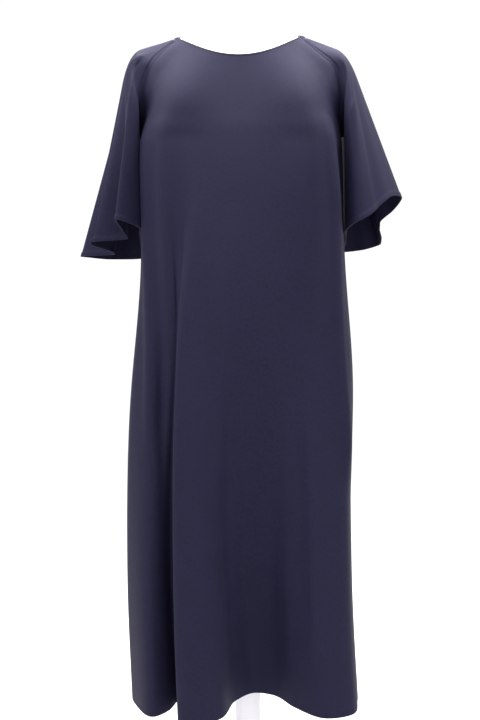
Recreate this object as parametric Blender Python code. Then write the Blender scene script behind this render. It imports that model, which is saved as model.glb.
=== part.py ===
"""A midi shift dress with raglan flutter sleeves, worn by a limbless dress form on a pole and base.

Metres, +Z up. The origin is the centre of the base's underside on the floor.
The front of the dress faces -Y. Depths are given towards the front, so y = -depth.
"""
import math

import bpy
import numpy as np

# Cloth
WALL = 0.0012            # thickness of every cloth wall
SEAM_GAP = 0.0003        # between two pieces at a straight seam
SLEEVE_GAP = 0.0005      # between a sleeve and the panel it runs on from
SLEEVE_TURN_GAP = 0.0006  # added where a sleeve turns away from its panel
EDGE_WIDTH = 0.0040      # bound edge of the neck
EDGE_WALL = 0.0020
HEM_DROP = 0.10          # how far a fold sinks at the hem, for each metre it stands out
SHOULDER_TOP = (0.120, 0.0, 1.384)   # out, depth, height of the sleeve's neck edge at the shoulder
SECTION_FULLNESS = 0.85  # 1 gives elliptical sections, less makes them squarer
UNDERARM_T = 0.148       # where the raglan seam meets the side seam, as a share of the length

# Share of the length, then the seam's places on each side and the centre front and back,
# and how many degrees the cloth turns from its centre to the seam.
# Above the underarm the seam is the raglan seam, and below it the side seam.
SECTIONS = (
    # name         t      left    right  seam_z front_d  mid_z  mid_d  back_d  back_z  back_mid  turn
    ("neck",      0.000, 0.1130, 0.1110, 1.3740, 0.030, 1.3250, 0.0900, -0.035, 1.3520, -0.060, 50),
    ("yoke",      0.024, 0.1400, 0.1370, 1.3460, 0.047, 1.2980, 0.0960, -0.052, 1.3170, -0.076, 52),
    ("chest",     0.050, 0.1600, 0.1650, 1.3160, 0.057, 1.2690, 0.1030, -0.058, 1.2820, -0.087, 54),
    ("armhole",   0.082, 0.1730, 0.1770, 1.2780, 0.057, 1.2400, 0.1090, -0.057, 1.2480, -0.094, 58),
    ("low arm",   0.121, 0.1775, 0.1800, 1.2320, 0.038, 1.2150, 0.1140, -0.038, 1.2180, -0.100, 68),
    ("underarm",  0.148, 0.1815, 0.1840, 1.2000, 0.000, 1.1980, 0.1178, 0.000, 1.1980, -0.105, 90),
    ("bust",      0.190, 0.1820, 0.1850, 1.1500, 0.000, 1.1500, 0.1240, 0.000, 1.1500, -0.108, 90),
    ("waist",     0.300, 0.1800, 0.1840, 1.0200, 0.000, 1.0200, 0.1330, 0.000, 1.0200, -0.112, 90),
    ("high hip",  0.370, 0.1840, 0.1870, 0.9400, 0.000, 0.9400, 0.139, 0.000, 0.9400, -0.116, 90),
    ("hip",       0.446, 0.1930, 0.1940, 0.8500, 0.000, 0.8500, 0.142, 0.000, 0.8500, -0.122, 90),
    ("thigh",     0.540, 0.2050, 0.1990, 0.7400, 0.000, 0.7400, 0.146, 0.000, 0.7400, -0.128, 90),
    ("knee",      0.693, 0.2130, 0.1900, 0.5600, 0.000, 0.5600, 0.150, 0.000, 0.5600, -0.136, 90),
    ("calf",      0.830, 0.2140, 0.1900, 0.4000, 0.000, 0.4000, 0.153, 0.000, 0.4000, -0.142, 90),
    ("hem",       1.000, 0.2070, 0.1970, 0.1980, 0.000, 0.1980, 0.155, 0.000, 0.1980, -0.145, 90),
)

# The hem seen from above, a row for each fold, from the -X side seam to the +X one.
# Left and right are as seen from the front here and in SECTIONS, and the wearer's on the sleeves.
FRONT_HEM = (
    # name               x       depth   start
    ("side",          -0.207,  0.000, 0.30),
    ("left turn",     -0.198,  0.104, 0.30),
    ("left fold",     -0.156,  0.166, 0.28),
    ("left flank",    -0.135,  0.146, 0.26),
    ("trough",        -0.122,  0.113, 0.22),
    ("pleat wall",    -0.114,  0.158, 0.22),
    ("pleat edge",    -0.113,  0.203, 0.22),
    ("pleat",         -0.082,  0.214, 0.26),
    ("pleat fall",    -0.047,  0.190, 0.34),
    ("valley wall",   -0.019,  0.118, 0.42),
    ("valley",         0.012,  0.090, 0.44),
    ("valley floor",   0.044,  0.099, 0.44),
    ("right rise",     0.080,  0.146, 0.40),
    ("right fold",     0.128,  0.184, 0.34),
    ("right turn",     0.176,  0.166, 0.34),
    ("right side",     0.191,  0.106, 0.34),
    ("side",           0.197,  0.000, 0.34),
)
BACK_HEM = (
    ("side",          -0.207,  0.000, 0.30),
    ("left turn",     -0.199, -0.096, 0.30),
    ("left fold",     -0.160, -0.158, 0.30),
    ("left valley",   -0.112, -0.112, 0.34),
    ("middle rise",   -0.070, -0.136, 0.36),
    ("middle fold",   -0.022, -0.190, 0.32),
    ("middle fall",    0.024, -0.160, 0.32),
    ("right valley",   0.066, -0.106, 0.36),
    ("right rise",     0.104, -0.132, 0.36),
    ("right fold",     0.150, -0.168, 0.30),
    ("right turn",     0.190, -0.100, 0.30),
    ("side",           0.197,  0.000, 0.34),
)

# Sleeve folds, a row each, from the underarm round the front, the shoulder and the back.
# out and depth of the bend over the shoulder, then of the hem; share is along the sleeve's top seam.
RIGHT_SLEEVE = (
    # name           share  bend_out bend_d  bend_z   hem_out  hem_d   hem_z
    ("underarm",     0.00,  0.1900,  0.000, 1.1930,  0.1870, -0.005, 1.000),
    ("inner front",  0.08,  0.1870,  0.046, 1.2160,  0.1850,  0.044, 1.020),
    ("front edge",   0.16,  0.1810,  0.077, 1.2540,  0.1830,  0.068, 1.028),
    ("front fold",   0.25,  0.1935,  0.084, 1.2920,  0.2260,  0.092, 1.040),
    ("front valley", 0.33,  0.1945,  0.065, 1.3220,  0.2030,  0.040, 1.014),
    ("side fold",    0.42,  0.2040,  0.030, 1.3500,  0.2800,  0.034, 1.006),
    ("side valley",  0.50,  0.2000, -0.006, 1.3520,  0.2330, -0.020, 0.992),
    ("outer fold",   0.60,  0.2040, -0.030, 1.3480,  0.3080, -0.050, 0.991),
    ("back fold",    0.70,  0.1960, -0.062, 1.3180,  0.2620, -0.094, 0.989),
    ("back edge",    0.83,  0.1860, -0.078, 1.2560,  0.1820, -0.088, 0.990),
    ("inner back",   0.92,  0.1880, -0.046, 1.2160,  0.1860, -0.048, 0.994),
)
LEFT_SLEEVE = (
    ("underarm",     0.00,  0.1920,  0.000, 1.1930,  0.1905, -0.005, 1.000),
    ("inner front",  0.08,  0.1890,  0.046, 1.2160,  0.1885,  0.042, 1.012),
    ("front edge",   0.16,  0.1840,  0.078, 1.2540,  0.1860,  0.066, 1.018),
    ("front fold",   0.24,  0.1900,  0.082, 1.2880,  0.2140,  0.092, 1.034),
    ("front rise",   0.32,  0.1950,  0.068, 1.3180,  0.2400,  0.084, 1.055),
    ("flare front",  0.40,  0.1970,  0.032, 1.3420,  0.2700,  0.046, 1.082),
    ("flare tip",    0.48,  0.1990,  0.004, 1.3510,  0.2960, -0.002, 1.086),
    ("flare back",   0.55,  0.1990, -0.020, 1.3490,  0.2850, -0.040, 1.068),
    ("side valley",  0.61,  0.1970, -0.038, 1.3400,  0.2580, -0.050, 1.044),
    ("second fold",  0.69,  0.1940, -0.062, 1.3180,  0.2720, -0.084, 1.016),
    ("back fold",    0.77,  0.1890, -0.076, 1.2860,  0.2440, -0.108, 1.004),
    ("back edge",    0.86,  0.1870, -0.072, 1.2420,  0.1860, -0.100, 0.997),
    ("inner back",   0.93,  0.1890, -0.042, 1.2120,  0.1890, -0.050, 0.996),
)

# Dress form: height, half width, depth to the front, depth to the back
FORM = (
    # name           z      half    front   back
    ("underside",   0.640, 0.1480, 0.0880, 0.0940),
    ("seat",        0.665, 0.1620, 0.0980, 0.1060),
    ("hips",        0.760, 0.1700, 0.1060, 0.1100),
    ("high hip",    0.860, 0.1560, 0.0960, 0.0980),
    ("waist",       0.970, 0.1300, 0.0820, 0.0760),
    ("ribs",        1.080, 0.1480, 0.0980, 0.0840),
    ("bust",        1.160, 0.1600, 0.1120, 0.0900),
    ("chest",       1.240, 0.1640, 0.0960, 0.0880),
    ("shoulders",   1.300, 0.1760, 0.0720, 0.0780),
    ("shoulder end", 1.332, 0.1860, 0.0560, 0.0600),
    ("slope low",   1.3520, 0.1800, 0.0460, 0.0500),
    ("slope",       1.3638, 0.1580, 0.0430, 0.0470),
    ("slope high",  1.3738, 0.1320, 0.0420, 0.0470),
    ("neck base",   1.3840, 0.1060, 0.0420, 0.0480),
    ("neck curve",  1.398, 0.0760, 0.0480, 0.0480),
    ("neck",        1.424, 0.0600, 0.0500, 0.0500),
    ("neck top",    1.470, 0.0560, 0.0500, 0.0500),
)
FORM_FULLNESS = 2.2      # 2 is an ellipse, more is squarer
POLE_RADIUS = 0.024
BASE_RADIUS = 0.185
BASE_HEIGHT = 0.016
COLLAR_RADIUS = 0.040
COLLAR_HEIGHT = 0.030
BASE_ROUND = 0.003
JOIN_GAP = 0.0003

# How a sleeve rounds its bend: shares of the way to the bend and of the drop, and where they end
BEND_APPROACH = 0.50
BEND_DROP = 0.34
BEND_IN = 0.20
BEND_OUT = 0.42
SHOULDER_SPAN = 0.13
LEAVE_SMOOTHING = 6      # passes that even out the ways in which the ribs leave the seam
NECK_GAP = 0.0007
NECK_SMOOTHING = 3
BESIDE_SEAM = 0.02       # share across a panel over which its direction at the seam is read
BELOW_NECK = 0.012       # share down a panel over which its direction at the neck is read
SLIDE_END = 0.5          # share of the length where the folds' sideways places are reached

# Grid sizes
FRONT_COLUMNS = 42
BACK_COLUMNS = 30
YOKE_ROWS = 10
SKIRT_ROWS = 16
SLEEVE_ROWS = 12
FORM_SIDES = 36
FORM_ROWS = 30
EDGE_STEPS = 18
SHOULDER_STEPS = 5


def column(table, index):
    """One column of a table, as an array."""
    return np.array([row[index] for row in table], dtype=float)


def smooth(keys, values, at, level=False):
    """A smooth curve through (keys, values), read at `at`; its slope at a key spans the neighbours.

    With level it is level at the keys where the values stop rising or falling, so it never overshoots.
    """
    slopes = np.gradient(values, keys, axis=0)
    if level:
        steps = np.diff(values)
        slopes[1:-1][steps[:-1] * steps[1:] <= 0] = 0
    at = np.clip(at, keys[0], keys[-1])
    k = np.clip(np.searchsorted(keys, at, side="right") - 1, 0, len(keys) - 2)
    span = keys[k + 1] - keys[k]
    s = (at - keys[k]) / span
    if values.ndim > 1:
        span, s = span[..., None], s[..., None]
    return ((2 * s**3 - 3 * s**2 + 1) * values[k] + (s**3 - 2 * s**2 + s) * span * slopes[k]
            + (3 * s**2 - 2 * s**3) * values[k + 1] + (s**3 - s**2) * span * slopes[k + 1])


def smooth_loop(keys, values, at):
    """The same on a closed loop of length 1."""
    keys = np.concatenate((keys[-2:] - 1, keys, keys[:2] + 1))
    values = np.concatenate((values[-2:], values, values[:2]))
    return smooth(keys, values, at)


def section(t, index):
    """A column of SECTIONS at the share t of the length."""
    return smooth(column(SECTIONS, 1), column(SECTIONS, index), t, level=True)


def hem_offsets(table, u):
    """How far the folded hem lies from the plain one at u, sideways and in depth, and its start."""
    x, d, start = column(table, 1), column(table, 2), column(table, 3)
    reach = np.concatenate(([0.0], np.cumsum(np.hypot(np.diff(x), np.diff(d)))))
    share = reach / reach[-1]
    across, depth = plain_section(table is FRONT_HEM, u, np.ones_like(u))[:2]
    return smooth(share, x, u) - across, smooth(share, d, u) - depth, smooth(share, start, u)


def plain_section(is_front, u, t):
    """The panel without folds: x, depth and z at the share u across and t down.

    The angle runs from -turn to turn, and with s = sin(angle) / sin(turn) it gives
    x = centre + half width * s, z = middle + (seam - middle) * s^2 and
    depth = seam + (middle - seam) * ((cos(angle) - cos(turn)) / (1 - cos(turn)))^fullness.
    """
    turn = np.radians(section(t, 11))
    angle = (2 * u - 1) * turn
    left, right, seam_z = section(t, 2), section(t, 3), section(t, 4)
    seam_d, mid_z, mid_d = (section(t, k) for k in ((5, 6, 7) if is_front else (8, 9, 10)))
    s = np.sin(angle) / np.sin(turn)
    bow = np.maximum((np.cos(angle) - np.cos(turn)) / (1 - np.cos(turn)), 0)**SECTION_FULLNESS
    x = (right - left) / 2 + (left + right) / 2 * s
    return x, seam_d + (mid_d - seam_d) * bow, mid_z + (seam_z - mid_z) * s**2


def panel_surface(is_front, u, t):
    """A panel's points at u across and t down: the plain section plus its folds.

    The folds are the hem's offsets times ((t - start) / (1 - start))^1.25.
    """
    x, depth, z = plain_section(is_front, u, t)
    out_x, out_d, start = hem_offsets(FRONT_HEM if is_front else BACK_HEM, u)
    grow = np.clip((t - start) / (1 - start), 0, 1)**1.25
    slide = np.clip((t - UNDERARM_T) / (SLIDE_END - UNDERARM_T), 0, 1)
    slide = slide * slide * (3 - 2 * slide)
    stand_out = out_d if is_front else -out_d
    return np.stack((x + out_x * slide,
                     -(depth + out_d * grow),
                     z - HEM_DROP * stand_out * grow**2), axis=-1)


def grid_normals(points):
    """Unit normals of a grid of points, across then down."""
    across = np.gradient(points, axis=1)
    down = np.gradient(points, axis=0)
    normal = np.cross(across, -down)
    return normal / np.linalg.norm(normal, axis=-1, keepdims=True)


def material(name, colour, roughness, metallic=0.0):
    made = bpy.data.materials.new(name)
    made.use_nodes = True
    shader = made.node_tree.nodes["Principled BSDF"]
    shader.inputs["Base Color"].default_value = (*colour, 1.0)
    shader.inputs["Roughness"].default_value = roughness
    shader.inputs["Metallic"].default_value = metallic
    return made


def add_object(name, vertices, faces, finish):
    mesh = bpy.data.meshes.new(name)
    mesh.from_pydata([tuple(v) for v in vertices], [], faces)
    mesh.validate()
    mesh.materials.append(finish)
    mesh.shade_smooth()
    mesh.set_sharp_from_angle(angle=math.radians(40))
    made = bpy.data.objects.new(name, mesh)
    bpy.context.collection.objects.link(made)
    return made


def add_wall(name, points, normals, finish, closed=False, wall=WALL):
    """A closed wall on a grid of points, half its thickness to each side along the normals."""
    rows, columns = points.shape[:2]
    outer = (points + normals * wall / 2).reshape(-1, 3)
    inner = (points - normals * wall / 2).reshape(-1, 3)
    count = rows * columns
    faces = []
    strips = columns if closed else columns - 1
    for r in range(rows - 1):
        for c in range(strips):
            a, b = r * columns + c, r * columns + (c + 1) % columns
            e, f = a + columns, b + columns
            faces.append((a, e, f, b))
            faces.append((count + a, count + b, count + f, count + e))
    for c in range(strips):
        a, b = c, (c + 1) % columns
        faces.append((a, b, count + b, count + a))
        e, f = (rows - 1) * columns + a, (rows - 1) * columns + b
        faces.append((e, count + e, count + f, f))
    if not closed:
        for r in range(rows - 1):
            a, e = r * columns, (r + 1) * columns
            faces.append((a, count + a, count + e, e))
            b, f = a + columns - 1, e + columns - 1
            faces.append((b, f, count + f, count + b))
    return add_object(name, np.concatenate((outer, inner)), faces, finish)


def panel_rows():
    """The rows' shares of the length, closer together towards the underarm."""
    yoke = UNDERARM_T * (1 - (1 - np.linspace(0, 1, YOKE_ROWS + 1))**1.5)
    return np.concatenate((yoke, np.linspace(UNDERARM_T, 1, SKIRT_ROWS + 1)[1:]))


def add_panel(name, is_front, columns, finish):
    """The front or the back, from side seam to side seam, 0.3 mm short of the other at the seams."""
    u, t = np.meshgrid(np.linspace(0, 1, columns + 1), panel_rows())
    points = panel_surface(is_front, u, t)
    if not is_front:
        points = points[:, ::-1]
    normals = grid_normals(points)
    skirt = panel_rows() >= UNDERARM_T
    for edge in (0, -1):
        normals[skirt, edge, 1] = 0.0
        normals[skirt, edge] /= np.linalg.norm(normals[skirt, edge], axis=-1, keepdims=True)
        points[:, edge, 1] += SEAM_GAP / 2 * (-1 if is_front else 1)
    add_wall(name, points, normals, finish)


def top_seam(side):
    """The sleeve's top seam as a route: front raglan, neck edge and back raglan.

    It has a point at each row of the panels, so both edges follow the same chords. Returns each
    point's share of the seam's length, its place, the way the panel's cloth runs on across
    the seam there, and the way it faces. On the neck edge they are outwards and up.
    """
    steps = panel_rows()[YOKE_ROWS::-1]
    edge = np.full_like(steps, 0.0 if side < 0 else 1.0)
    beside = edge - side * BESIDE_SEAM
    places, ways, faces = [], [], []
    for is_front in (True, False):
        here = panel_surface(is_front, edge, steps)
        away = here - panel_surface(is_front, beside, steps)
        along = np.gradient(here, axis=0)
        along /= np.linalg.norm(along, axis=1, keepdims=True)
        away -= along * np.sum(away * along, axis=1, keepdims=True)
        away /= np.linalg.norm(away, axis=1, keepdims=True)
        facing = np.cross(away, along) * (side if is_front else -side)
        places.append(here)
        ways.append(away)
        faces.append(facing)
    out, depth, height = SHOULDER_TOP
    route = np.concatenate((places[0], [[side * out, -depth, height]], places[1][::-1]))
    way = np.concatenate((ways[0], [[side, 0.0, 0.0]], ways[1][::-1]))
    face = np.concatenate((faces[0], [[0.0, 0.0, 1.0]], faces[1][::-1]))
    reach = np.concatenate(([0.0], np.cumsum(np.linalg.norm(np.diff(route, axis=0), axis=1))))
    return reach / reach[-1], route, way, face


def between(keys, values, at):
    """Straight runs through (keys, values), read at `at`."""
    return np.stack([np.interp(at, keys, values[:, k]) for k in range(values.shape[1])], axis=1)


def sleeve_surface(side, table, share, q):
    """A sleeve's points: each rib leaves the top seam, rounds its bend and drops to the hem.

    A rib is a quadratic B-spline on five points: the seam, a point on the way to the bend,
    the bend, a point on the way to the hem, and the hem. It leaves the seam as the
    panel's cloth runs, but straight out from the panel at the underarm, by cos(pi * share)^2, and
    towards its bend on the shoulder, by exp(-((share - 0.5) / SHOULDER_SPAN)^2).
    """
    keys = column(table, 1)
    places = np.array([row[2:] for row in table]) * (side, -1.0, 1.0, side, -1.0, 1.0)
    bend, hem = np.split(smooth_loop(keys, places, share), 2, axis=1)
    seam = top_seam(side)
    start, leave, face = (between(seam[0], values, share) for values in seam[1:])
    reach = np.linalg.norm(bend - start, axis=1, keepdims=True)
    under = np.cos(math.pi * share)[:, None]**2
    over = np.exp(-((share - 0.5) / SHOULDER_SPAN)**2)[:, None]
    leave = (1 - under) * leave + under * face
    leave = (1 - over) * leave + over * (bend - start) / reach
    for _ in range(LEAVE_SMOOTHING):
        leave = (np.roll(leave, 1, axis=0) + 2 * leave + np.roll(leave, -1, axis=0)) / 4
    leave /= np.linalg.norm(leave, axis=1, keepdims=True)
    start = start + leave * (SLEEVE_GAP + SLEEVE_TURN_GAP * under)
    way = start + leave * reach * BEND_APPROACH
    drop = bend + BEND_DROP * (hem - bend)
    before, after = (way + bend) / 2, (bend + drop) / 2
    legs = ((start, way, before, 0.0, BEND_IN), (before, bend, after, BEND_IN, BEND_OUT),
            (after, drop, hem, BEND_OUT, 1.0))
    points = np.zeros((len(q), len(share), 3))
    for begin, pull, end, low, high in legs:
        here = (q >= low) & (q <= high)
        s = ((q[here] - low) / (high - low))[:, None, None]
        points[here] = (1 - s)**2 * begin + 2 * s * (1 - s) * pull + s**2 * end
    return points


def add_sleeve(name, side, table, finish):
    keys = top_seam(side)[0]
    share = np.stack((keys[:-1], (keys[:-1] + keys[1:]) / 2), axis=1).ravel()
    bend_rows = np.linspace(0, BEND_OUT, SLEEVE_ROWS // 2 + 1)
    drop_rows = np.linspace(BEND_OUT, 1, SLEEVE_ROWS // 2 + 1)[1:]
    points = sleeve_surface(side, table, share, np.concatenate((bend_rows, drop_rows)))
    if side > 0:
        points = points[:, ::-1]
    wrapped = np.concatenate((points[:, -1:], points, points[:, :1]), axis=1)
    normals = grid_normals(wrapped)[:, 1:-1]
    add_wall(name, points, normals, finish, closed=True)


def neck_route():
    """The neck's edge as a loop, with the direction in which the cloth ends at each point."""
    across = np.linspace(0, 1, EDGE_STEPS + 1)
    begin, beside = [], []
    for is_front in (True, False):
        u = across if is_front else across[::-1]
        begin.append(panel_surface(is_front, u, np.zeros_like(u)))
        beside.append(panel_surface(is_front, u, np.full_like(u, BELOW_NECK)))
    for side, table in ((1, LEFT_SLEEVE), (-1, RIGHT_SLEEVE)):
        keys, seam = top_seam(side)[:2]
        middle = int(np.argmax(seam[:, 2]))
        corners = keys[middle - 1], keys[middle + 1]
        share = np.linspace(*corners, SHOULDER_STEPS + 2)[1:-1][::side]
        begin.append(smooth(keys, seam, share))
        beside.append(sleeve_surface(side, table, share, np.array([BEND_IN / 2]))[0])
    order = (0, 2, 1, 3)
    route = np.concatenate([begin[k] for k in order])
    away = route - np.concatenate([beside[k] for k in order])
    away /= np.linalg.norm(away, axis=1, keepdims=True)
    for _ in range(NECK_SMOOTHING):
        away = (np.roll(away, 1, axis=0) + 2 * away + np.roll(away, -1, axis=0)) / 4
    away /= np.linalg.norm(away, axis=1, keepdims=True)
    return route, away


def add_neck_edge(name, finish):
    """A ring that runs on from the cloth's end all round the neck."""
    route, away = neck_route()
    along = np.roll(route, -1, axis=0) - np.roll(route, 1, axis=0)
    along /= np.linalg.norm(along, axis=1, keepdims=True)
    normal = np.cross(along, away)
    normal /= np.linalg.norm(normal, axis=1, keepdims=True)
    rows = [route + away * (NECK_GAP + EDGE_WIDTH * k) for k in (1.0, 0.5, 0.0)]
    points = np.stack(rows)
    add_wall(name, points, np.broadcast_to(normal, points.shape), finish, closed=True, wall=EDGE_WALL)


def add_loft(name, heights, half, front, back, finish, full=2.0, sides=FORM_SIDES):
    """A closed solid of level rings: x = half cos^(2/full), depth = front or back sin^(2/full)."""
    angle = np.arange(sides) / sides * 2 * math.pi
    cos, sin = np.cos(angle), np.sin(angle)
    wide = np.sign(cos) * np.abs(cos)**(2 / full)
    deep = np.sign(sin) * np.abs(sin)**(2 / full)
    reach = np.where(deep[None, :] < 0, front[:, None], back[:, None])
    x, y = half[:, None] * wide, reach * deep
    z = np.broadcast_to(heights[:, None], x.shape)
    vertices = np.stack((x, y, z), axis=-1).reshape(-1, 3)
    rings = len(heights)
    faces = [tuple(range(sides))[::-1], tuple(range((rings - 1) * sides, rings * sides))]
    for r in range(rings - 1):
        for c in range(sides):
            a, b = r * sides + c, r * sides + (c + 1) % sides
            faces.append((a, b, b + sides, a + sides))
    return add_object(name, vertices, faces, finish)


def add_form(name, finish):
    """The torso: its sections smoothed along the body, tight at the shoulders."""
    places = np.array([row[1:] for row in FORM])
    keys = np.arange(len(FORM), dtype=float)
    at = np.linspace(0, keys[-1], FORM_ROWS)
    z, half, front, back = smooth(keys, places, at).T
    add_loft(name, z, half, front, back, finish, full=FORM_FULLNESS)


def add_turned(name, profile, finish):
    """A turned piece from its outer side: (radius, height) from the bottom up."""
    radius, height = np.array(profile).T
    add_loft(name, height, radius, radius, radius, finish)


def build():
    for old in list(bpy.data.objects):
        bpy.data.objects.remove(old, do_unlink=True)
    crepe = material("navy crepe", (0.030, 0.030, 0.058), 0.72)
    binding = material("navy bound edge", (0.022, 0.022, 0.042), 0.75)
    cover = material("white form cover", (0.88, 0.88, 0.87), 0.65)
    enamel = material("white enamel", (0.86, 0.86, 0.88), 0.35)
    add_panel("front_panel", True, FRONT_COLUMNS, crepe)
    add_panel("back_panel", False, BACK_COLUMNS, crepe)
    add_sleeve("right_sleeve", -1, RIGHT_SLEEVE, crepe)
    add_sleeve("left_sleeve", 1, LEFT_SLEEVE, crepe)
    add_neck_edge("neck_edge", binding)
    add_form("form_torso", cover)
    add_turned("form_base", ((BASE_RADIUS - BASE_ROUND, 0.0), (BASE_RADIUS, BASE_ROUND),
                             (BASE_RADIUS, BASE_HEIGHT - 2 * BASE_ROUND),
                             (BASE_RADIUS - 2 * BASE_ROUND, BASE_HEIGHT),
                             (COLLAR_RADIUS + BASE_ROUND, BASE_HEIGHT + BASE_ROUND),
                             (COLLAR_RADIUS, BASE_HEIGHT + 2 * BASE_ROUND),
                             (COLLAR_RADIUS - BASE_ROUND, BASE_HEIGHT + COLLAR_HEIGHT)), enamel)
    add_turned("form_pole", ((POLE_RADIUS, BASE_HEIGHT + COLLAR_HEIGHT + JOIN_GAP),
                             (POLE_RADIUS, FORM[0][1] - JOIN_GAP)), enamel)


build()
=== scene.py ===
import math

import bpy
import numpy as np
from mathutils import Matrix


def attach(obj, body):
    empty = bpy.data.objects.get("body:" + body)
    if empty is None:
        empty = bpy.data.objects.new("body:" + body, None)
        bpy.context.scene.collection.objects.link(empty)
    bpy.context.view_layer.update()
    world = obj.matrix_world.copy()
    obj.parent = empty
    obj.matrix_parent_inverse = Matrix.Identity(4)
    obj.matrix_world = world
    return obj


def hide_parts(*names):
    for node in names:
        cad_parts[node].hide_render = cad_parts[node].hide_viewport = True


# A navy crepe shift dress on a white limbless form. Metres, +Z up, the front faces -Y.
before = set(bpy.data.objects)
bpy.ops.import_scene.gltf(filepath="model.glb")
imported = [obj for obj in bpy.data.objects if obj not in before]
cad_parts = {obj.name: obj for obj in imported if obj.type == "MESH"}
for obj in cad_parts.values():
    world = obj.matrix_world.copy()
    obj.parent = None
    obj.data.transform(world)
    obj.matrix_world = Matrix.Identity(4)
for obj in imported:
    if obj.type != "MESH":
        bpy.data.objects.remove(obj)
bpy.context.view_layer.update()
print("frame loaded")


def smoothCurve(keys, values, at, level=False):
    # cubic through the keys; the slope at a key spans its neighbours, and with level it is
    # 0 where the values stop rising or falling
    slopes = np.gradient(values, keys, axis=0)
    if level:
        steps = np.diff(values)
        slopes[1:-1][steps[:-1] * steps[1:] <= 0] = 0
    at = np.clip(at, keys[0], keys[-1])
    k = np.clip(np.searchsorted(keys, at, side="right") - 1, 0, len(keys) - 2)
    span = keys[k + 1] - keys[k]
    s = (at - keys[k]) / span
    if values.ndim > 1:
        span, s = span[..., None], s[..., None]
    return ((2 * s**3 - 3 * s**2 + 1) * values[k] + (s**3 - 2 * s**2 + s) * span * slopes[k]
            + (3 * s**2 - 2 * s**3) * values[k + 1] + (s**3 - s**2) * span * slopes[k + 1])


def smoothLoop(keys, values, at):
    # the same on a closed loop of length 1
    keys = np.concatenate((keys[-2:] - 1, keys, keys[:2] + 1))
    values = np.concatenate((values[-2:], values, values[:2]))
    return smoothCurve(keys, values, at)


def ease(x):
    # 0 below 0, 1 above 1, with a soft start and end
    x = np.clip(x, 0, 1)
    return x * x * (3 - 2 * x)


def unit(vectors):
    return vectors / np.linalg.norm(vectors, axis=-1, keepdims=True)


def gridNormals(points, closed=False):
    # across x up, from the neighbouring points; a closed grid wraps across
    if closed:
        points = np.concatenate((points[:, -1:], points, points[:, :1]), axis=1)
    normal = unit(np.cross(np.gradient(points, axis=1), -np.gradient(points, axis=0)))
    return normal[:, 1:-1] if closed else normal


def gridQuads(rows, columns, closed):
    # the four corners of each cell, counted row by row
    first = np.arange(rows * columns).reshape(rows, columns)
    across = np.roll(first, -1, axis=1) if closed else first[:, 1:]
    here = first if closed else first[:, :-1]
    return np.stack((here[:-1], here[1:], across[1:], across[:-1]), axis=-1).reshape(-1, 4)


def addObject(name, data):
    made = bpy.data.objects.new(name, data)
    bpy.context.scene.collection.objects.link(made)
    return made


def putMesh(name, vertices, quads, uv, finish, sharp=50):
    mesh = bpy.data.meshes.new(name)
    mesh.from_pydata(vertices.tolist(), [], quads.tolist())
    layer = mesh.uv_layers.new(name="UVMap")
    corner = np.zeros(len(mesh.loops), dtype=np.int32)
    mesh.loops.foreach_get("vertex_index", corner)
    layer.data.foreach_set("uv", uv[corner].astype(np.float32).ravel())
    mesh.materials.append(finish)
    mesh.shade_smooth()
    mesh.set_sharp_from_angle(angle=math.radians(sharp))
    return addObject(name, mesh)


def clothShell(name, points, uv, finish, outside, inside, closed=False):
    # a closed wall: the grid moved out and in along its normals, with strips along the open edges
    normals = gridNormals(points, closed)
    rows, columns = points.shape[:2]
    count = rows * columns
    outer = points + normals * np.broadcast_to(outside, (rows, columns))[..., None]
    inner = points - normals * np.broadcast_to(inside, (rows, columns))[..., None]
    face = gridQuads(rows, columns, closed)
    grid = np.arange(count).reshape(rows, columns)
    edges = []
    for line, turned in ((grid[0], False), (grid[-1], True)):
        ahead = np.roll(line, -1) if closed else line[1:]
        here = line if closed else line[:-1]
        strip = np.stack((here, ahead, ahead + count, here + count), axis=-1)
        edges.append(strip[:, ::-1] if turned else strip)
    if not closed:
        for line, turned in ((grid[:, 0], True), (grid[:, -1], False)):
            strip = np.stack((line[:-1], line[1:], line[1:] + count, line[:-1] + count), axis=-1)
            edges.append(strip[:, ::-1] if turned else strip)
    quads = np.concatenate([face, face[:, ::-1] + count] + edges)
    vertices = np.concatenate((outer.reshape(-1, 3), inner.reshape(-1, 3)))
    return putMesh(name, vertices, quads, np.tile(uv.reshape(-1, 2), (2, 1)), finish)


def clothPlaces(points):
    # places on the cloth in metres: across from the middle column, and down from the first row
    step = np.linalg.norm(np.diff(points, axis=1), axis=-1)
    across = np.concatenate((np.zeros((len(points), 1)), np.cumsum(step, axis=1)), axis=1)
    down = np.linalg.norm(np.diff(points, axis=0), axis=-1)
    down = np.concatenate((np.zeros((1, points.shape[1])), np.cumsum(down, axis=0)), axis=0)
    return np.stack((across - across[:, -1:] / 2, down), axis=-1)


def creaseHeight(creases, across, along):
    # each crease is a soft bell across its line, with eased ends:
    # height * exp(-((across - line) / width)^2)
    total = np.zeros_like(across)
    for name, line, width, height, fade in creases:
        at, centre = np.array(line).T
        low, high = at.min(), at.max()
        order = np.argsort(at)
        ends = ease((along - low) / fade) * ease((high - along) / fade)
        middle = np.interp(along, at[order], centre[order])
        total += height * np.exp(-((across - middle) / width)**2) * ends
    return total


def flatArea(points, closed=False):
    # the middle surface's area: the sum of |diagonal x diagonal| / 2
    if closed:
        points = np.concatenate((points, points[:, :1]), axis=1)
    one = points[1:, 1:] - points[:-1, :-1]
    two = points[1:, :-1] - points[:-1, 1:]
    return float(np.linalg.norm(np.cross(one, two), axis=-1).sum() / 2)


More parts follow.
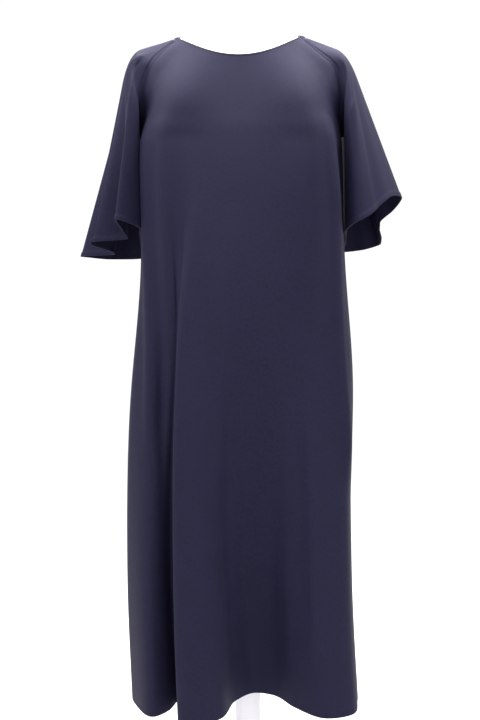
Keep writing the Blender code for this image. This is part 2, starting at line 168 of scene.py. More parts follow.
class Wire:
    # an output socket: sums on it add Math nodes, and node() adds any other node
    def __init__(self, tree, socket=None):
        self.tree, self.socket = tree, socket

    def feed(self, socket, value):
        if isinstance(value, Wire):
            self.tree.links.new(value.socket, socket)
        else:
            socket.default_value = value

    def node(self, kind, settings=None, values=None, out=0):
        made = self.tree.nodes.new(kind)
        for name, value in (settings or {}).items():
            setattr(made, name, value)
        for name, value in (values or {}).items():
            self.feed(made.inputs[name], value)
        return Wire(self.tree, made.outputs[out])

    def sum(self, operation, first, second):
        return self.node("ShaderNodeMath", {"operation": operation}, {0: first, 1: second})

    def __add__(self, other):
        return self.sum("ADD", self, other)

    def __sub__(self, other):
        return self.sum("SUBTRACT", self, other)

    def __rsub__(self, other):
        return self.sum("SUBTRACT", other, self)

    def __mul__(self, other):
        return self.sum("MULTIPLY", self, other)

    __radd__, __rmul__ = __add__, __mul__


def newFinish(name, roughness, **fixed):
    made = bpy.data.materials.new(name)
    made.use_nodes = True
    shader = made.node_tree.nodes["Principled BSDF"]
    shader.inputs["Roughness"].default_value = roughness
    for socket, value in fixed.items():
        shader.inputs[socket.replace("_", " ")].default_value = value
    return made, shader, Wire(made.node_tree)


def mixed(wire, share, first, second):
    return wire.node("ShaderNodeMix", {"data_type": "RGBA"},
                     {0: share, 6: first, 7: second}, out=2)


def crepeFinish(name, look):
    # fine crossed threads with a pebbled crinkle over them, on the cloth's own metres
    made, shader, wire = newFinish(name, look["roughness"], Sheen_Weight=look["sheen"],
                                   Sheen_Roughness=look["sheenRoughness"],
                                   Sheen_Tint=look["sheenTint"],
                                   Specular_IOR_Level=look["specular"])
    place = wire.node("ShaderNodeTexCoord", out="UV")
    split = wire.node("ShaderNodeSeparateXYZ", values={0: place})
    across, down = split, Wire(wire.tree, split.socket.node.outputs[1])
    pitch = 2 * math.pi / look["thread"]
    noise = {"Vector": place, "Detail": 2.0}
    pebble = wire.node("ShaderNodeTexNoise", values={**noise, "Scale": look["pebble"]})
    crinkle = wire.node("ShaderNodeTexNoise", values={**noise, "Scale": look["crinkle"]})
    cloud = wire.node("ShaderNodeTexNoise", values={**noise, "Scale": look["cloud"]})
    mottle = wire.node("ShaderNodeTexNoise", values={**noise, "Scale": look["mottle"]})
    wave = {"operation": "SINE"}
    warp = wire.node("ShaderNodeMath", wave, {0: across * pitch + pebble * look["warpWobble"]})
    weft = wire.node("ShaderNodeMath", wave, {0: down * pitch * look["weftCount"]
                                                 + crinkle * look["weftWobble"]})
    weave = warp * weft * 0.5 + 0.5
    depths, tones = look["depths"], look["tones"]
    height = weave * depths["weave"] + pebble * depths["pebble"] + crinkle * depths["crinkle"]
    tone = (cloud * tones["cloud"] + mottle * tones["mottle"] + weave * tones["weave"]
            + pebble * tones["pebble"] - tones["level"])
    wire.feed(shader.inputs["Base Color"], mixed(wire, tone, look["dark"], look["light"]))
    spread = look["roughnessSpread"]
    wire.feed(shader.inputs["Roughness"], tone * spread + (look["roughness"] - spread / 2))
    bump = wire.node("ShaderNodeBump", values={"Strength": look["bump"],
                                               "Distance": look["bumpDepth"], "Height": height})
    wire.feed(shader.inputs["Normal"], bump)
    return made


crepeLook = {
    "dark": (0.0052, 0.0049, 0.0152, 1), "light": (0.0116, 0.0109, 0.0335, 1),
    "roughness": 0.70, "roughnessSpread": 0.12, "specular": 0.11,
    "sheen": 0.016, "sheenRoughness": 0.40, "sheenTint": (0.86, 0.76, 1.0, 1),
    "thread": 0.00050, "pebble": 1300.0, "crinkle": 420.0, "cloud": 22.0, "mottle": 190.0,
    "warpWobble": 4, "weftWobble": 5, "weftCount": 1.15,
    # how much each pattern adds to the bump's height and to the share of the light colour
    "depths": {"weave": 0.35, "pebble": 0.9, "crinkle": 0.8},
    "tones": {"cloud": 0.30, "mottle": 1.20, "weave": 0.20, "pebble": 0.35, "level": 0.52},
    "bump": 0.60, "bumpDepth": 0.00045,
}
edgeLook = dict(crepeLook, dark=(0.0110, 0.0110, 0.0210, 1), light=(0.0190, 0.0190, 0.0350, 1))
crepe = crepeFinish("navyCrepe", crepeLook)
edgeCrepe = crepeFinish("navyEdge", edgeLook)
print("cloth finishes made")


# the cut of the dress: the same sections and folds as its solids
dress = {
    "wall": 0.0012, "underarm": 0.148, "fullness": 0.85, "hemDrop": 0.10, "slideEnd": 0.5,
    "foldGrowth": 1.25, "rowBias": 1.5, "seamDip": 0.0009, "seamReach": 0.0022,
    # share, out left, out right, seam height, then seam depth, middle height and middle depth
    # of the front, the same of the back, and the turn in degrees
    "sections": (
        (0.000, .1130, .1110, 1.3740, .030, 1.3250, .0900, -.035, 1.3520, -.060, 50),
        (0.024, .1400, .1370, 1.3460, .047, 1.2980, .0960, -.052, 1.3170, -.076, 52),
        (0.050, .1600, .1650, 1.3160, .057, 1.2690, .1030, -.058, 1.2820, -.087, 54),
        (0.082, .1730, .1770, 1.2780, .057, 1.2400, .1090, -.057, 1.2480, -.094, 58),
        (0.121, .1775, .1800, 1.2320, .038, 1.2150, .1140, -.038, 1.2180, -.100, 68),
        (0.148, .1815, .1840, 1.2000, .000, 1.1980, .1178, 0.000, 1.1980, -.105, 90),
        (0.190, .1820, .1850, 1.1500, .000, 1.1500, .1240, 0.000, 1.1500, -.108, 90),
        (0.300, .1800, .1840, 1.0200, .000, 1.0200, .1330, 0.000, 1.0200, -.112, 90),
        (0.370, .1840, .1870, 0.9400, .000, 0.9400, .139, 0.000, 0.9400, -.116, 90),
        (0.446, .1930, .1940, 0.8500, .000, 0.8500, .142, 0.000, 0.8500, -.122, 90),
        (0.540, .2050, .1990, 0.7400, .000, 0.7400, .146, 0.000, 0.7400, -.128, 90),
        (0.693, .2130, .1900, 0.5600, .000, 0.5600, .150, 0.000, 0.5600, -.136, 90),
        (0.830, .2140, .1900, 0.4000, .000, 0.4000, .153, 0.000, 0.4000, -.142, 90),
        (1.000, .2070, .1970, 0.1980, .000, 0.1980, .155, 0.000, 0.1980, -.145, 90),
    ),
    # the folded hem from above: x, depth and the share of the length where the fold starts
    "frontHem": (
        (-.207, .000, .30), (-.198, .104, .30), (-.156, .166, .28), (-.135, .146, .26),
        (-.122, .113, .22), (-.114, .158, .22), (-.113, .203, .22), (-.082, .214, .26),
        (-.047, .190, .34), (-.019, .118, .42), (.012, .090, .44), (.044, .099, .44),
        (.080, .146, .40), (.128, .184, .34), (.176, .166, .34), (.191, .106, .34),
        (.197, .000, .34),
    ),
    "backHem": (
        (-.207, .000, .30), (-.199, -.096, .30), (-.160, -.158, .30), (-.112, -.112, .34),
        (-.070, -.136, .36), (-.022, -.190, .32), (.024, -.160, .32), (.066, -.106, .36),
        (.104, -.132, .36), (.150, -.168, .30), (.190, -.100, .30), (.197, .000, .34),
    ),
}
sectionTable = np.array(dress["sections"])


def plainSection(isFront, u, t):
    # at an angle from -turn to turn, s = sin(angle) / sin(turn): x = centre + half width * s,
    # z = middle + (seam - middle) * s^2, depth = seam + (middle - seam) * bow^fullness
    value = [smoothCurve(sectionTable[:, 0], sectionTable[:, k], t, level=True) for k in range(11)]
    left, right, seamZ = value[1:4]
    seamD, midZ, midD = value[4:7] if isFront else (value[7], value[8], value[9])
    turn = np.radians(value[10])
    angle = (2 * u - 1) * turn
    s = np.sin(angle) / np.sin(turn)
    bow = np.maximum((np.cos(angle) - np.cos(turn)) / (1 - np.cos(turn)), 0)**dress["fullness"]
    x = (right - left) / 2 + (left + right) / 2 * s
    return x, seamD + (midD - seamD) * bow, midZ + (seamZ - midZ) * s**2


def panelSurface(isFront, u, t):
    # the plain section plus the folds: the hem's offsets times
    # ((t - start) / (1 - start))^foldGrowth
    x, depth, z = plainSection(isFront, u, t)
    hemX, hemD, start = np.array(dress["frontHem" if isFront else "backHem"]).T
    reach = np.concatenate(([0.0], np.cumsum(np.hypot(np.diff(hemX), np.diff(hemD)))))
    share = reach / reach[-1]
    plainX, plainD = plainSection(isFront, u, np.ones_like(u))[:2]
    outX = smoothCurve(share, hemX, u) - plainX
    outD = smoothCurve(share, hemD, u) - plainD
    begin = smoothCurve(share, start, u)
    grow = np.clip((t - begin) / (1 - begin), 0, 1)**dress["foldGrowth"]
    slide = ease((t - dress["underarm"]) / (dress["slideEnd"] - dress["underarm"]))
    standOut = outD if isFront else -outD
    return np.stack((x + outX * slide, -(depth + outD * grow),
                     z - dress["hemDrop"] * standOut * grow**2), axis=-1)


def panelRows(yoke, skirt):
    # shares of the length, closer together towards the underarm
    top = dress["underarm"] * (1 - (1 - np.linspace(0, 1, yoke + 1))**dress["rowBias"])
    return np.concatenate((top, np.linspace(dress["underarm"], 1, skirt + 1)[1:]))


def seamSink(distance):
    # the cloth rolls in a little at a seam: -dip * exp(-(distance / reach)^2)
    return -dress["seamDip"] * np.exp(-(distance / dress["seamReach"])**2)


panel = {
    "hem": 0.028, "hemWall": 0.0011, "hemEdge": 0.0015,
    # how far from the side seams the eased rows, the bust and every push are at their full
    "easeSide": 0.030, "bustSide": 0.062, "pushSide": 0.006,
}
front = {
    "columns": 222, "yokeRows": 44, "skirtRows": 140, "easing": 80,
    # name, line of (height, x), width, height out of the cloth, and how long its ends fade
    "creases": (
        ("rightSideRoll", ((1.28, -.150), (1.18, -.160), (1.04, -.162), (0.60, -.168)),
         .009, .0056, .14),
        ("rightSideDip", ((1.22, -.140), (1.10, -.141), (0.92, -.143), (0.60, -.146)),
         .009, -.0040, .12),
        ("rightInnerRoll", ((1.16, -.120), (1.00, -.120), (0.70, -.112), (0.52, -.108)),
         .016, .0022, .16),
        ("softBand", ((1.06, -.078), (0.88, -.070), (0.62, -.052), (0.34, -.036)),
         .020, -.0046, .18),
        ("troughDeep", ((0.94, -.146), (0.70, -.143), (0.46, -.136), (0.20, -.128)),
         .010, -.0034, .20),
        ("leftSideRoll", ((1.28, .130), (1.16, .138), (0.98, .154)), .010, .0060, .12),
        ("leftSideDip", ((1.24, .159), (1.12, .164), (1.00, .170)), .008, -.0036, .10),
        ("leftRidge", ((1.20, .144), (1.06, .155), (0.94, .161), (0.76, .170), (0.54, .181)),
         .010, .0090, .14),
        ("lightEdge", ((0.72, .108), (0.50, .110), (0.26, .112)), .007, .0022, .12),
        ("lightEdgeDip", ((0.70, .092), (0.50, .093), (0.26, .094)), .012, -.0022, .12),
    ),
    # the bust: side, out from the middle at its top and how much further out it runs for each
    # metre down, how wide, top, how far down it grows, how far it falls, height
    "bust": ((-1, 0.088, 0.24, 0.042, 1.355, 0.178, 0.46, 0.030),
             (1, 0.088, 0.20, 0.042, 1.355, 0.182, 0.46, 0.034)),
}
back = {
    "columns": 182, "yokeRows": 36, "skirtRows": 110, "easing": 30,
    "creases": (
        ("rightSideRoll", ((1.28, -.150), (1.10, -.152), (0.90, -.158)), .010, .0030, .10),
        ("rightSideDip", ((1.28, -.132), (1.05, -.134), (0.84, -.140)), .010, -.0024, .10),
        ("leftSideRoll", ((1.27, .146), (1.08, .148), (0.88, .154)), .009, .0028, .09),
        ("leftSideDip", ((1.26, .130), (1.04, .133), (0.92, .136)), .009, -.0022, .09),
    ),
}


def buildPanel(name, isFront, shape):
    u, t = np.meshgrid(np.linspace(0, 1, shape["columns"] + 1),
                       panelRows(shape["yokeRows"], shape["skirtRows"]))
    points = panelSurface(isFront, u, t)
    if not isFront:
        points = points[:, ::-1]
    places = clothPlaces(points)
    fromSide = np.minimum(u, 1 - u) * np.abs(places[:, :1, 0]) * 2
    eased = points.copy()
    for _ in range(shape["easing"]):
        eased[1:-1] = (eased[:-2] + 2 * eased[1:-1] + eased[2:]) / 4
    points = points + (eased - points) * ease(fromSide / panel["easeSide"])[..., None]
    normals = gridNormals(points)
    push = creaseHeight(shape["creases"], points[..., 0], points[..., 2]) + seamSink(fromSide)
    if isFront:
        for side, out, spread, wide, top, grow, fall, height in shape["bust"]:
            below = top - points[..., 2]
            middle = out + spread * np.clip(below, 0, grow)
            lobe = np.exp(-((side * points[..., 0] - middle) / wide)**2)
            lobe = lobe * ease(fromSide / panel["bustSide"])
            push = push + height * lobe * ease(below / grow) * (1 - ease((below - grow) / fall))
    edge = ease(fromSide / panel["pushSide"])
    points = points + normals * (push * edge)[..., None]
    fromHem = places[-1:, :, 1] - places[..., 1]
    hemFold = 1 - ease((fromHem - panel["hem"]) / panel["hemEdge"])
    piece = clothShell(name, points, places, crepe, dress["wall"] / 2,
                       dress["wall"] / 2 + panel["hemWall"] * hemFold)
    return piece, flatArea(points)


frontPiece, frontArea = buildPanel("dressFront", True, front)
backPiece, backArea = buildPanel("dressBack", False, back)
print("front and back made", round(frontArea, 3), round(backArea, 3))


sleeve = {
    "shoulderTop": (0.120, 0.0, 1.384), "approach": 0.50, "drop": 0.34,
    "bendIn": 0.20, "bendOut": 0.42, "shoulderSpan": 0.13, "smoothing": 36,
    "lookIn": 0.02, "columns": 264, "foldGrowth": 0.25,
    # rows: from, to and how many, as shares of the way down
    "rows": ((0, 0.06, 20), (0.06, 0.42, 34), (0.42, 0.97, 44), (0.97, 1, 8)),
    "allowance": 0.0075, "allowanceRise": 0.0012, "allowanceEdge": 0.0016,
    "allowanceStart": 0.002, "hem": 0.008, "hemWall": 0.0010, "hemOut": 0.0002, "hemEdge": 0.0012,
    # share of the top seam, then out, depth and height of the bend and of the hem
    "right": (
        (0.00, .1900, .000, 1.1930, .1870, -.005, 1.000),
        (0.08, .1870, .046, 1.2160, .1850, .044, 1.020),
        (0.16, .1810, .077, 1.2540, .1830, .068, 1.028),
        (0.25, .1935, .084, 1.2920, .2260, .092, 1.040),
        (0.33, .1945, .065, 1.3220, .2030, .040, 1.014),
        (0.42, .2040, .030, 1.3500, .2800, .034, 1.006),
        (0.50, .2000, -.006, 1.3520, .2330, -.020, 0.992),
        (0.60, .2040, -.030, 1.3480, .3080, -.050, 0.991),
        (0.70, .1960, -.062, 1.3180, .2620, -.094, 0.989),
        (0.83, .1860, -.078, 1.2560, .1820, -.088, 0.990),
        (0.92, .1880, -.046, 1.2160, .1860, -.048, 0.994),
    ),
    "left": (
        (0.00, .1920, .000, 1.1930, .1905, -.005, 1.000),
        (0.08, .1890, .046, 1.2160, .1885, .042, 1.012),
        (0.16, .1840, .078, 1.2540, .1860, .066, 1.018),
        (0.24, .1900, .082, 1.2880, .2140, .092, 1.034),
        (0.32, .1950, .068, 1.3180, .2400, .084, 1.055),
        (0.40, .1970, .032, 1.3420, .2700, .046, 1.082),
        (0.48, .1990, .004, 1.3510, .2960, -.002, 1.086),
        (0.55, .1990, -.020, 1.3490, .2850, -.040, 1.068),
        (0.61, .1970, -.038, 1.3400, .2580, -.050, 1.044),
        (0.69, .1940, -.062, 1.3180, .2720, -.084, 1.016),
        (0.77, .1890, -.076, 1.2860, .2440, -.108, 1.004),
        (0.86, .1870, -.072, 1.2420, .1860, -.100, 0.997),
        (0.93, .1890, -.042, 1.2120, .1890, -.050, 0.996),
    ),
    # name, line of (share of the way down, share of the top seam), width, height, start
    "rightFolds": (
        ("frontRidge", ((0.0, .30), (0.3, .27), (1.0, .25)), .018, .0060, .08),
        ("frontValley", ((0.0, .335), (0.3, .32), (1.0, .31)), .022, -.0095, .06),
        ("sideRidge", ((0.0, .42), (0.3, .41), (1.0, .415)), .020, .0060, .12),
        ("sideValley", ((0.0, .47), (0.3, .48), (1.0, .49)), .028, -.0080, .14),
        ("outerRidge", ((0.0, .58), (0.3, .59), (1.0, .60)), .026, .0030, .20),
        ("backValley", ((0.0, .66), (0.4, .655), (1.0, .65)), .026, -.0060, .14),
        ("backRidge", ((0.0, .72), (0.4, .71), (1.0, .70)), .024, .0040, .14),
        ("innerValley", ((0.0, .77), (0.4, .765), (1.0, .76)), .024, -.0050, .16),
    ),
    "leftFolds": (
        ("frontValley", ((0.0, .26), (0.5, .24), (1.0, .22)), .040, -.0110, .28),
        ("middleRidge", ((0.0, .36), (0.3, .35), (1.0, .33)), .026, .0040, .24),
        ("backValley", ((0.0, .59), (0.4, .60), (1.0, .61)), .026, -.0065, .14),
        ("backRidge", ((0.0, .67), (0.4, .68), (1.0, .69)), .026, .0045, .14),
        ("innerValley", ((0.0, .73), (0.4, .73), (1.0, .73)), .022, -.0050, .16),
        ("lastRidge", ((0.0, .77), (0.4, .775), (1.0, .775)), .020, .0035, .18),
    ),
}


def topSeam(side):
    # front raglan, neck edge and back raglan as one route, with the way the panel's cloth
    # runs on at each point and the way it faces
    steps = panelRows(front["yokeRows"], 1)[front["yokeRows"]::-1]
    edge = np.full_like(steps, 0.0 if side < 0 else 1.0)
    places, ways, faces = [], [], []
    for isFront in (True, False):
        here = panelSurface(isFront, edge, steps)
        away = here - panelSurface(isFront, edge - side * sleeve["lookIn"], steps)
        along = unit(np.gradient(here, axis=0))
        away = unit(away - along * np.sum(away * along, axis=1, keepdims=True))
        places.append(here)
        ways.append(away)
        faces.append(np.cross(away, along) * (side if isFront else -side))
    out, depth, height = sleeve["shoulderTop"]
    route = np.concatenate((places[0], [[side * out, -depth, height]], places[1][::-1]))
    way = np.concatenate((ways[0], [[side, 0.0, 0.0]], ways[1][::-1]))
    face = np.concatenate((faces[0], [[0.0, 0.0, 1.0]], faces[1][::-1]))
    reach = np.concatenate(([0.0], np.cumsum(np.linalg.norm(np.diff(route, axis=0), axis=1))))
    return reach / reach[-1], route, way, face


def between(keys, values, at):
    return np.stack([np.interp(at, keys, values[:, k]) for k in range(values.shape[1])], axis=1)


def sleeveSurface(side, table, share, q):
    # each rib is a quadratic B-spline: seam, way to the bend, bend, way to the hem, hem
    keys = np.array([row[0] for row in table])
    places = np.array([row[1:] for row in table]) * (side, -1.0, 1.0, side, -1.0, 1.0)
    bend, hem = np.split(smoothLoop(keys, places, share), 2, axis=1)
    seam = topSeam(side)
    start = smoothCurve(*seam[:2], share)
    leave, face = (between(seam[0], values, share) for values in seam[2:])
    reach = np.linalg.norm(bend - start, axis=1, keepdims=True)
    under = np.cos(math.pi * share)[:, None]**2
    over = np.exp(-((share - 0.5) / sleeve["shoulderSpan"])**2)[:, None]
    leave = (1 - under) * leave + under * face
    leave = (1 - over) * leave + over * (bend - start) / reach
    for _ in range(sleeve["smoothing"]):
        leave = (np.roll(leave, 1, axis=0) + 2 * leave + np.roll(leave, -1, axis=0)) / 4
    leave = unit(leave)
    way = start + leave * reach * sleeve["approach"]
    drop = bend + sleeve["drop"] * (hem - bend)
    before, after = (way + bend) / 2, (bend + drop) / 2
    bendIn, bendOut = sleeve["bendIn"], sleeve["bendOut"]
    legs = ((start, way, before, 0.0, bendIn), (before, bend, after, bendIn, bendOut),
            (after, drop, hem, bendOut, 1.0))
    points = np.zeros((len(q), len(share), 3))
    for begin, pull, end, low, high in legs:
        here = (q >= low) & (q <= high)
        s = ((q[here] - low) / (high - low))[:, None, None]
        points[here] = (1 - s)**2 * begin + 2 * s * (1 - s) * pull + s**2 * end
    return points


def foldHeight(folds, share, q):
    # each fold is a ridge along its line of (q, share): height * exp(-((share - line) / width)^2),
    # growing from its start; a negative height is a valley
    total = np.zeros_like(share)
    for name, line, width, height, start in folds:
        at, centre = np.array(line).T
        off = (share - np.interp(q, at, centre) + 0.5) % 1 - 0.5
        total += height * np.exp(-(off / width)**2) * ease((q - start) / sleeve["foldGrowth"])
    return total


def buildSleeve(name, side, table, folds):
    share = np.arange(sleeve["columns"]) / sleeve["columns"]
    q = np.concatenate([np.linspace(*run)[int(run[0] > 0):] for run in sleeve["rows"]])
    points = sleeveSurface(side, table, share, q)
    fold = foldHeight(folds, *np.meshgrid(share, q))
    if side > 0:
        points, fold = points[:, ::-1], fold[:, ::-1]
    normals = gridNormals(points, closed=True)
    points = points + normals * fold[..., None]
    normals = gridNormals(points, closed=True)
    places = clothPlaces(points)
    fromSeam, fromHem = places[..., 1], places[-1:, :, 1] - places[..., 1]
    past = (fromSeam - sleeve["allowance"]) / sleeve["allowanceEdge"]
    rise = sleeve["allowanceRise"] * (1 - ease(past))
    rise = rise * ease(fromSeam / sleeve["allowanceStart"]) + seamSink(fromSeam)
    hemFold = 1 - ease((fromHem - sleeve["hem"]) / sleeve["hemEdge"])
    points = points + normals * rise[..., None]
    piece = clothShell(name, points, places, crepe, dress["wall"] / 2 + sleeve["hemOut"] * hemFold,
                       dress["wall"] / 2 + sleeve["hemWall"] * hemFold, closed=True)
    return piece, flatArea(points, closed=True)


rightSleeve, rightArea = buildSleeve("sleeveRight", -1, sleeve["right"], sleeve["rightFolds"])
leftSleeve, leftArea = buildSleeve("sleeveLeft", 1, sleeve["left"], sleeve["leftFolds"])
print("sleeves made", round(rightArea, 3), round(leftArea, 3))


neck = {"width": 0.0040, "wall": 0.0020, "gap": 0.0002, "below": 0.012, "steps": 96,
        "shoulderSteps": 26, "smoothing": 24, "corners": 14, "square": 0.7}


def neckRoute():
    # the neck's edge as a loop, with the way the cloth ends at each point
    across = np.linspace(0, 1, neck["steps"] + 1)
    begin, beside = [], []
    for isFront in (True, False):
        u = across if isFront else across[::-1]
        begin.append(panelSurface(isFront, u, np.zeros_like(u)))
        beside.append(panelSurface(isFront, u, np.full_like(u, neck["below"])))
    for side, table in ((1, sleeve["left"]), (-1, sleeve["right"])):
        keys, seam = topSeam(side)[:2]
        middle = int(np.argmax(seam[:, 2]))
        share = np.linspace(keys[middle - 1], keys[middle + 1], neck["shoulderSteps"] + 2)
        share = share[1:-1][::side]
        begin.append(smoothCurve(keys, seam, share))
        beside.append(sleeveSurface(side, table, share, np.array([sleeve["bendIn"] / 2]))[0])
    order = (0, 2, 1, 3)
    route = np.concatenate([begin[k] for k in order])
    away = unit(route - np.concatenate([beside[k] for k in order]))
    for _ in range(neck["smoothing"]):
        away = (np.roll(away, 1, axis=0) + 2 * away + np.roll(away, -1, axis=0)) / 4
    return route, unit(away)


def buildNeckEdge():
    # a rounded flat band: its profile is a superellipse carried round the neck
    route, away = neckRoute()
    along = unit(np.roll(route, -1, axis=0) - np.roll(route, 1, axis=0))
    facing = unit(np.cross(along, away))
    angle = np.arange(neck["corners"]) / neck["corners"] * 2 * math.pi
    wide = np.sign(np.cos(angle)) * np.abs(np.cos(angle))**neck["square"]
    thick = np.sign(np.sin(angle)) * np.abs(np.sin(angle))**neck["square"]
    middle = route + away * (neck["gap"] + neck["width"] / 2)
    points = (middle[None] + away[None] * (wide * neck["width"] / 2)[:, None, None]
              + facing[None] * (thick * neck["wall"] / 2)[:, None, None])
    points = np.concatenate((points, points[:1]))
    places = clothPlaces(points)
    rows, columns = points.shape[:2]
    quads = gridQuads(rows, columns, True)
    quads = np.where(quads >= (rows - 1) * columns, quads - (rows - 1) * columns, quads)
    return putMesh("neckEdge", points[:-1].reshape(-1, 3), quads, places[:-1].reshape(-1, 2),
                   edgeCrepe, sharp=80)


neckPiece = buildNeckEdge()
print("neck edge made")


form = {
    "full": 2.2, "sides": 96, "rows": 120, "sharp": 40,
    # height, half width, depth to the front and to the back
    "sections": (
        (0.640, .1480, .0880, .0940), (0.665, .1620, .0980, .1060), (0.760, .1700, .1060, .1100),
        (0.860, .1560, .0960, .0980), (0.970, .1300, .0820, .0760), (1.080, .1480, .0980, .0840),
        (1.160, .1600, .1120, .0900), (1.240, .1640, .0960, .0880), (1.300, .1760, .0720, .0780),
        (1.332, .1860, .0560, .0600), (1.352, .1800, .0460, .0500), (1.3638, .1580, .0430, .0470),
        (1.3738, .1320, .0420, .0470), (1.384, .1060, .0420, .0480), (1.398, .0760, .0480, .0480),
        (1.424, .0600, .0500, .0500), (1.470, .0560, .0500, .0500),
    ),
}
pole = {"radius": 0.024, "low": 0.0463, "high": 0.6397, "rows": 24, "sides": 64}
base = {"radius": 0.185, "height": 0.016, "round": 0.003, "collar": 0.040, "collarHeight": 0.030,
        "sides": 128, "corner": 6}


def coverFinish():
    # fine knitted cover over padding
    made, shader, wire = newFinish("whiteCover", 0.7, Sheen_Weight=0.15)
    place = wire.node("ShaderNodeTexCoord", out="Object")
    knit = wire.node("ShaderNodeTexNoise", values={"Vector": place, "Scale": 700.0, "Detail": 2.0})
    cloud = wire.node("ShaderNodeTexNoise", values={"Vector": place, "Scale": 9.0, "Detail": 2.0})
    wire.feed(shader.inputs["Base Color"], mixed(wire, cloud * 0.7 + knit * 0.3,
                                                 (0.86, 0.86, 0.86, 1), (0.92, 0.92, 0.91, 1)))
    bump = wire.node("ShaderNodeBump", values={"Strength": 0.4, "Distance": 0.0003, "Height": knit})
    wire.feed(shader.inputs["Normal"], bump)
    return made


def enamelFinish():
    # sprayed white enamel: a faint orange peel, rougher where it was handled
    made, shader, wire = newFinish("whiteEnamel", 0.32)
    place = wire.node("ShaderNodeTexCoord", out="Object")
    peel = wire.node("ShaderNodeTexNoise", values={"Vector": place, "Scale": 260.0, "Detail": 1.0})
    handled = wire.node("ShaderNodeTexNoise",
                        values={"Vector": place, "Scale": 14.0, "Detail": 3.0})
    wire.feed(shader.inputs["Base Color"], mixed(wire, handled, (0.76, 0.75, 0.80, 1),
                                                 (0.80, 0.79, 0.84, 1)))
    wire.feed(shader.inputs["Roughness"], handled * 0.25 + 0.2)
    bump = wire.node("ShaderNodeBump",
                     values={"Strength": 0.15, "Distance": 0.0004, "Height": peel})
    wire.feed(shader.inputs["Normal"], bump)
    return made


def closedLoft(name, z, half, ahead, behind, finish, sides, full=2.0):
    # level rings, x = half cos^(2/full), depth = ahead or behind sin^(2/full), closed at both ends
    angle = np.arange(sides) / sides * 2 * math.pi
    wide = np.sign(np.cos(angle)) * np.abs(np.cos(angle))**(2 / full)
    deep = np.sign(np.sin(angle)) * np.abs(np.sin(angle))**(2 / full)
    reach = np.where(deep[None] < 0, ahead[:, None], behind[:, None])
    points = np.stack((half[:, None] * wide, reach * deep,
                       np.broadcast_to(z[:, None], reach.shape)), axis=-1)
    rows = len(z)
    centre = np.array([[0, 0, z[0]], [0, 0, z[-1]]])
    quads = gridQuads(rows, sides, True)[:, ::-1]
    ring = np.arange(sides)
    after = np.roll(ring, -1)
    low, high = rows * sides, rows * sides + 1
    caps = [(low, int(b), int(a)) for a, b in zip(ring, after)]
    caps += [(high, int(a), int(b)) for a, b in zip(ring + low - sides, after + low - sides)]
    vertices = np.concatenate((points.reshape(-1, 3), centre))
    mesh = bpy.data.meshes.new(name)
    mesh.from_pydata(vertices.tolist(), [], quads.tolist() + caps)
    mesh.materials.append(finish)
    mesh.shade_smooth()
    mesh.set_sharp_from_angle(angle=math.radians(form["sharp"]))
    return addObject(name, mesh)


cover, enamel = coverFinish(), enamelFinish()
bodyTable = np.array(form["sections"])
rowAt = np.linspace(0, len(bodyTable) - 1, form["rows"])
bodyKeys = np.arange(len(bodyTable), dtype=float)
bodyZ, bodyHalf, bodyFront, bodyBack = smoothCurve(bodyKeys, bodyTable, rowAt).T
torso = closedLoft("formTorso", bodyZ, bodyHalf, bodyFront, bodyBack, cover,
                   form["sides"], form["full"])


def turned(name, profile, sides):
    radius, z = np.array(profile).T
    return closedLoft(name, z, radius, radius, radius, enamel, sides)


def roundCorner(radius, z, size, start, turn):
    # a quarter round about (radius, z)
    angle = np.radians(start + turn * np.linspace(0, 1, base["corner"]))
    return [(radius + size * math.cos(a), z + size * math.sin(a)) for a in angle]


poleHeights = np.linspace(pole["low"], pole["high"], pole["rows"])
polePiece = turned("formPole", [(pole["radius"], h) for h in poleHeights], pole["sides"])
edge, top = base["round"], base["height"]
collarTop = top + base["collarHeight"]
baseProfile = (roundCorner(base["radius"] - edge, edge, edge, -90, 90)
               + roundCorner(base["radius"] - 2 * edge, top - 2 * edge, 2 * edge, 0, 90)
               + roundCorner(base["collar"] + edge, top + edge, edge, 270, -90)
               + roundCorner(base["collar"] - edge, collarTop - edge, edge, 0, 90))
basePiece = turned("formBase", baseProfile, base["sides"])
print("form made")


# what each piece is, and the solid that it stands for
for piece, node, slotName in (
        (frontPiece, "front_panel", "crepe"),
        (backPiece, "back_panel", "crepe"),
        (rightSleeve, "right_sleeve", "crepe"),
        (leftSleeve, "left_sleeve", "crepe"),
        (neckPiece, "neck_edge", "binding"),
        (torso, "form_torso", "form_cover"),
        (polePiece, "form_pole", "white_enamel"),
        (basePiece, "form_base", "white_enamel")):
    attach(piece, "root")
    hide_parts(node)


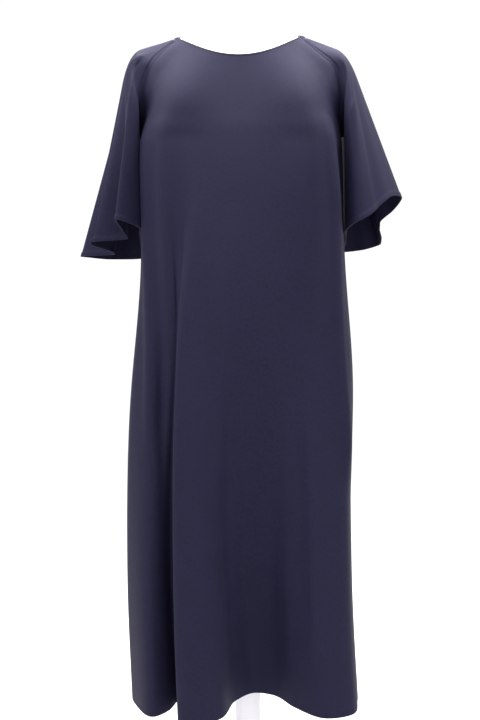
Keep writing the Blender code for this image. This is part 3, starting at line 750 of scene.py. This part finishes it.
studio = {"world": 1.05, "floor": 7.0, "floorSides": 96,
          "camera": (-0.0066, -1.85, 0.79), "roll": -0.7, "lens": 50, "film": (24, 36),
          # place, target, size and strength of each lamp
          "lamps": (((0.60, -0.25, 2.20), (0.12, -0.05, 1.25), 0.7, 36.0),
                    ((-0.70, -0.25, 2.20), (-0.12, -0.05, 1.25), 0.7, 36.0),
                    ((0.0, 0.15, 2.20), (0.0, 0.0, 1.2), 0.9, 26.0),
                    ((-0.3, -2.4, 2.3), (0.0, 0.0, 1.0), 1.5, 12.0))}


def buildStage():
    # a level disc
    sides = studio["floorSides"]
    angle = np.arange(sides) / sides * 2 * math.pi
    ring = np.stack((np.cos(angle), np.sin(angle), np.zeros(sides)), axis=1) * studio["floor"]
    mesh = bpy.data.meshes.new("floor")
    mesh.from_pydata(ring.tolist(), [], [list(range(sides))])
    made, shader, wire = newFinish("palePaper", 0.9)
    place = wire.node("ShaderNodeTexCoord", out="Object")
    grain = wire.node("ShaderNodeTexNoise", values={"Vector": place, "Scale": 60.0})
    wire.feed(shader.inputs["Base Color"], mixed(wire, grain, (0.95, 0.94, 0.93, 1),
                                                 (0.97, 0.965, 0.955, 1)))
    mesh.materials.append(made)
    addObject("floor", mesh)


def buildLights():
    world = bpy.data.worlds.new("studioWhite")
    world.use_nodes = True
    sky = world.node_tree.nodes["Background"]
    sky.inputs["Color"].default_value = (1, 1, 1, 1)
    sky.inputs["Strength"].default_value = studio["world"]
    bpy.context.scene.world = world
    for place, target, size, strength in studio["lamps"]:
        lamp = bpy.data.lights.new("softbox", "AREA")
        lamp.shape, lamp.size, lamp.energy = "SQUARE", size, strength
        toward = np.array(target) - np.array(place)
        turn = math.atan2(toward[1], toward[0]) - math.pi / 2
        tilt = math.acos(-toward[2] / np.linalg.norm(toward))
        addObject("softbox", lamp).matrix_world = (
            Matrix.Translation(place) @ Matrix.Rotation(turn, 4, "Z")
            @ Matrix.Rotation(tilt, 4, "X"))


def buildCamera():
    lens = bpy.data.cameras.new("camera")
    lens.lens, lens.sensor_fit = studio["lens"], "VERTICAL"
    lens.sensor_width, lens.sensor_height = studio["film"]
    holder = addObject("camera", lens)
    roll = Matrix.Rotation(math.radians(studio["roll"]), 4, "Z")
    holder.matrix_world = (Matrix.Translation(studio["camera"])
                           @ Matrix.Rotation(math.pi / 2, 4, "X") @ roll)
    bpy.context.scene.camera = holder


buildStage()
buildLights()
buildCamera()
bpy.context.scene.view_settings.view_transform = "Standard"
print("studio made")
